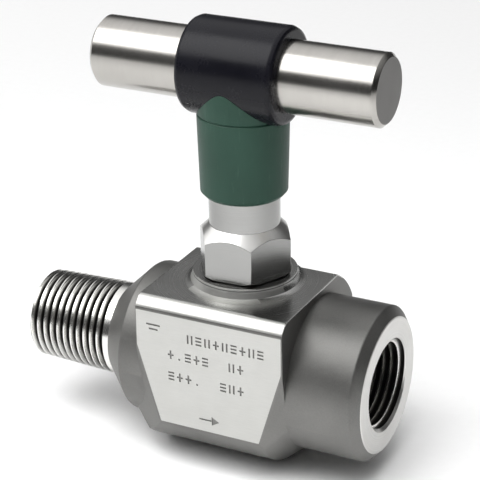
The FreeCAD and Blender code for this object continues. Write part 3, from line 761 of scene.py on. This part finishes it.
CAMERA_RIGHT = Vector((0.89373, 0.44837, -0.01495))
CAMERA_UP = Vector((-0.17087, 0.37103, 0.91276))
CAMERA_BACK = Vector((0.41480, -0.81321, 0.40821))
CAMERA_PLACE = Vector((0.21428, -0.31927, 0.18863))
CAMERA_LENS = 132.17

# Brightness of the studio by height, from the nadir to the zenith, and its strength along X
WORLD_STOPS = ((0.0, 0.05), (0.40, 0.10), (0.66, 0.95), (1.0, 1.6))
WORLD_LEFT = 1.2
WORLD_RIGHT = 0.30


def placed_camera():
    camera = bpy.data.objects.new("view_camera", bpy.data.cameras.new("view_camera"))
    bpy.context.scene.collection.objects.link(camera)
    turned = Matrix((CAMERA_RIGHT, CAMERA_UP, CAMERA_BACK)).transposed().to_4x4()
    camera.matrix_world = Matrix.Translation(CAMERA_PLACE) @ turned
    camera.data.lens = CAMERA_LENS
    camera.data.sensor_width = 36.0
    camera.data.clip_start = 0.01
    camera.data.clip_end = 20.0
    bpy.context.scene.camera = camera


def softbox(name, place, aim, width, height, power, mirrored=True, spread=180):
    """A soft rectangular lamp; shiny surfaces don't show it unless it is mirrored."""
    light = bpy.data.objects.new(name, bpy.data.lights.new(name, "AREA"))
    bpy.context.scene.collection.objects.link(light)
    light.data.shape = "RECTANGLE"
    light.data.size = width
    light.data.size_y = height
    light.data.energy = power
    light.location = place
    light.visible_glossy = mirrored
    light.data.spread = math.radians(spread)
    light.rotation_mode = "QUATERNION"
    light.rotation_quaternion = (Vector(aim) - Vector(place)).to_track_quat("-Z", "Y")


def pale_floor():
    bpy.ops.object.select_all(action="DESELECT")
    bpy.ops.mesh.primitive_plane_add(size=6.0, location=(0.0, 0.0, floor_z))
    floor = bpy.context.active_object
    floor.name = "pale_floor"
    paint = Paint("pale_paper")
    speck = paint.noise(400, 2.0)
    colour = paint.mixed(speck, (0.93, 0.93, 0.93), (0.97, 0.97, 0.97))
    floor.data.materials.append(paint.shaded({"Base Color": colour, "Roughness": 0.9}))


def studio_world():
    world = bpy.data.worlds.new("studio_world")
    world.use_nodes = True
    bpy.context.scene.world = world
    tree = world.node_tree
    tree.nodes.clear()
    coordinates = tree.nodes.new("ShaderNodeTexCoord")
    split = tree.nodes.new("ShaderNodeSeparateXYZ")
    ramp = tree.nodes.new("ShaderNodeValToRGB")
    background = tree.nodes.new("ShaderNodeBackground")
    output = tree.nodes.new("ShaderNodeOutputWorld")
    while len(ramp.color_ramp.elements) < len(WORLD_STOPS):
        ramp.color_ramp.elements.new(0.5)
    for element, (place, value) in zip(ramp.color_ramp.elements, WORLD_STOPS):
        element.position = place
        element.color = (value, value, value, 1.0)
    dimmed = tree.nodes.new("ShaderNodeMapRange")
    limits = {"From Min": -1.0, "From Max": 1.0, "To Min": WORLD_LEFT, "To Max": WORLD_RIGHT}
    for name, value in limits.items():
        dimmed.inputs[name].default_value = value
    tree.links.new(coordinates.outputs["Generated"], split.inputs[0])
    tree.links.new(split.outputs["Z"], ramp.inputs[0])
    tree.links.new(split.outputs["X"], dimmed.inputs["Value"])
    tree.links.new(ramp.outputs[0], background.inputs["Color"])
    tree.links.new(dimmed.outputs[0], background.inputs["Strength"])
    tree.links.new(background.outputs[0], output.inputs["Surface"])


# ---------------------------------------------------------------- finishes on the other nodes

bonnet_paint = bonnet_steel()
# turned bevel finish, partly painted highlight: far paler than the bonnet steel round it
bevel_highlight_paint = inner_steel("turned_bevel_highlight_steel", (0.62, 0.615, 0.60), (0.88, 0.875, 0.855), 0.30)
bar_paint = bar_steel()
bar_end_paint = bar_end_steel()
hub_paint = hub_black()
cap_paint = cap_green()
bright_paint = inner_steel("bright_inner_steel", (0.48, 0.475, 0.46), (0.70, 0.695, 0.675), 0.25)
clip_paint = inner_steel("spring_clip_steel", (0.16, 0.16, 0.17), (0.30, 0.30, 0.31), 0.35)
packing_paint = soft_stuff("white_packing", (0.70, 0.69, 0.66), (0.82, 0.81, 0.78), 0.45, 400)
seal_paint = soft_stuff("seal_ring_copper", (0.36, 0.20, 0.13), (0.52, 0.30, 0.20), 0.35, 500)
rubber_paint = soft_stuff("black_rubber", (0.012, 0.012, 0.012), (0.03, 0.03, 0.03), 0.55, 600)

NODE_FINISHES = {
    "bonnet_seal": seal_paint,
    "bonnet_lock_pin": bright_paint,
    "packing_washer": bright_paint,
    "packing_ring_lower": packing_paint,
    "packing_ring_middle": packing_paint,
    "packing_ring_upper": packing_paint,
    "gland_follower": bright_paint,
    "gland_screw": bright_paint,
    "gland_lock_nut": bright_paint,
    "stem_wiper": rubber_paint,
    "stem": bright_paint,
    "needle_tip": bright_paint,
    "tip_ball": bright_paint,
    "tip_retaining_ring": clip_paint,
    "stem_circlip": clip_paint,
    "hub_set_screw": clip_paint,
}
for node, finish in NODE_FINISHES.items():
    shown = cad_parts[node]
    shown.data.materials.clear()
    shown.data.materials.append(finish)


# ---------------------------------------------------------------- bonnet, cap, hub and bar

def bonnet_face(middle, normal):
    """1 for the bevel on top of the hexagon, a turned finish painted paler as a painted highlight, 0 for
    the rest.
    """
    on_bevel = around_stem(middle) > BEVEL_INSIDE and 0.2 < normal.z < 0.98
    return 1 if on_bevel and middle.z > HEX_HIGH - HEX_BEVEL else 0


def bonnet_edge(middle):
    """True for the hexagon's outside edges, and not for the one at the neck's foot."""
    return middle.z > HEX_LOW - NEAR_END and around_stem(middle) > HEX_INSIDE


def bar_face(middle, normal):
    """1 for the faced ends, 0 for the round."""
    return 1 if abs(normal.x) > 0.9 else 0


bonnet_piece = merged_copy("bonnet", "hexagon_bonnet")
eased(bonnet_piece, 0.28 * MM, angle=20, segments=3, test=bonnet_edge)
coloured(bonnet_piece, [bonnet_paint, bevel_highlight_paint], bonnet_face)
smoothed(bonnet_piece)
stands_for(bonnet_piece, "bonnet", "body")

cap_piece = merged_copy("dust_cap", "green_dust_cap")
eased(cap_piece, 0.22 * MM, angle=25, segments=2)
coloured(cap_piece, [cap_paint], lambda middle, normal: 0)
smoothed(cap_piece)
stands_for(cap_piece, "dust_cap", "handle")

hub_piece = merged_copy("handle_hub", "black_handle_hub")
eased(hub_piece, 0.25 * MM, angle=25, segments=2)
coloured(hub_piece, [hub_paint], lambda middle, normal: 0)
smoothed(hub_piece)
stands_for(hub_piece, "handle_hub", "handle")

bar_piece = merged_copy("handle_bar", "ground_handle_bar")
eased(bar_piece, 0.22 * MM, angle=25, segments=3)
coloured(bar_piece, [bar_paint, bar_end_paint], bar_face)
smoothed(bar_piece)
stands_for(bar_piece, "handle_bar", "handle")

placed_camera()
pale_floor()
studio_world()
target = (stem_x, 0.0, 0.02)
softbox("key_softbox", (-0.50, -0.53, 1.05), target, width=0.9, height=0.9, power=8.0)
softbox("left_softbox", (-1.1, -0.1, 0.45), target, width=0.7, height=0.6, power=1.6)
softbox(
    "floor_softbox", (0.12, -0.22, 0.45), (0.12, -0.18, floor_z),
    width=0.30, height=0.30, power=0.45, mirrored=False, spread=80,
)
bpy.context.scene.view_settings.view_transform = "Standard"
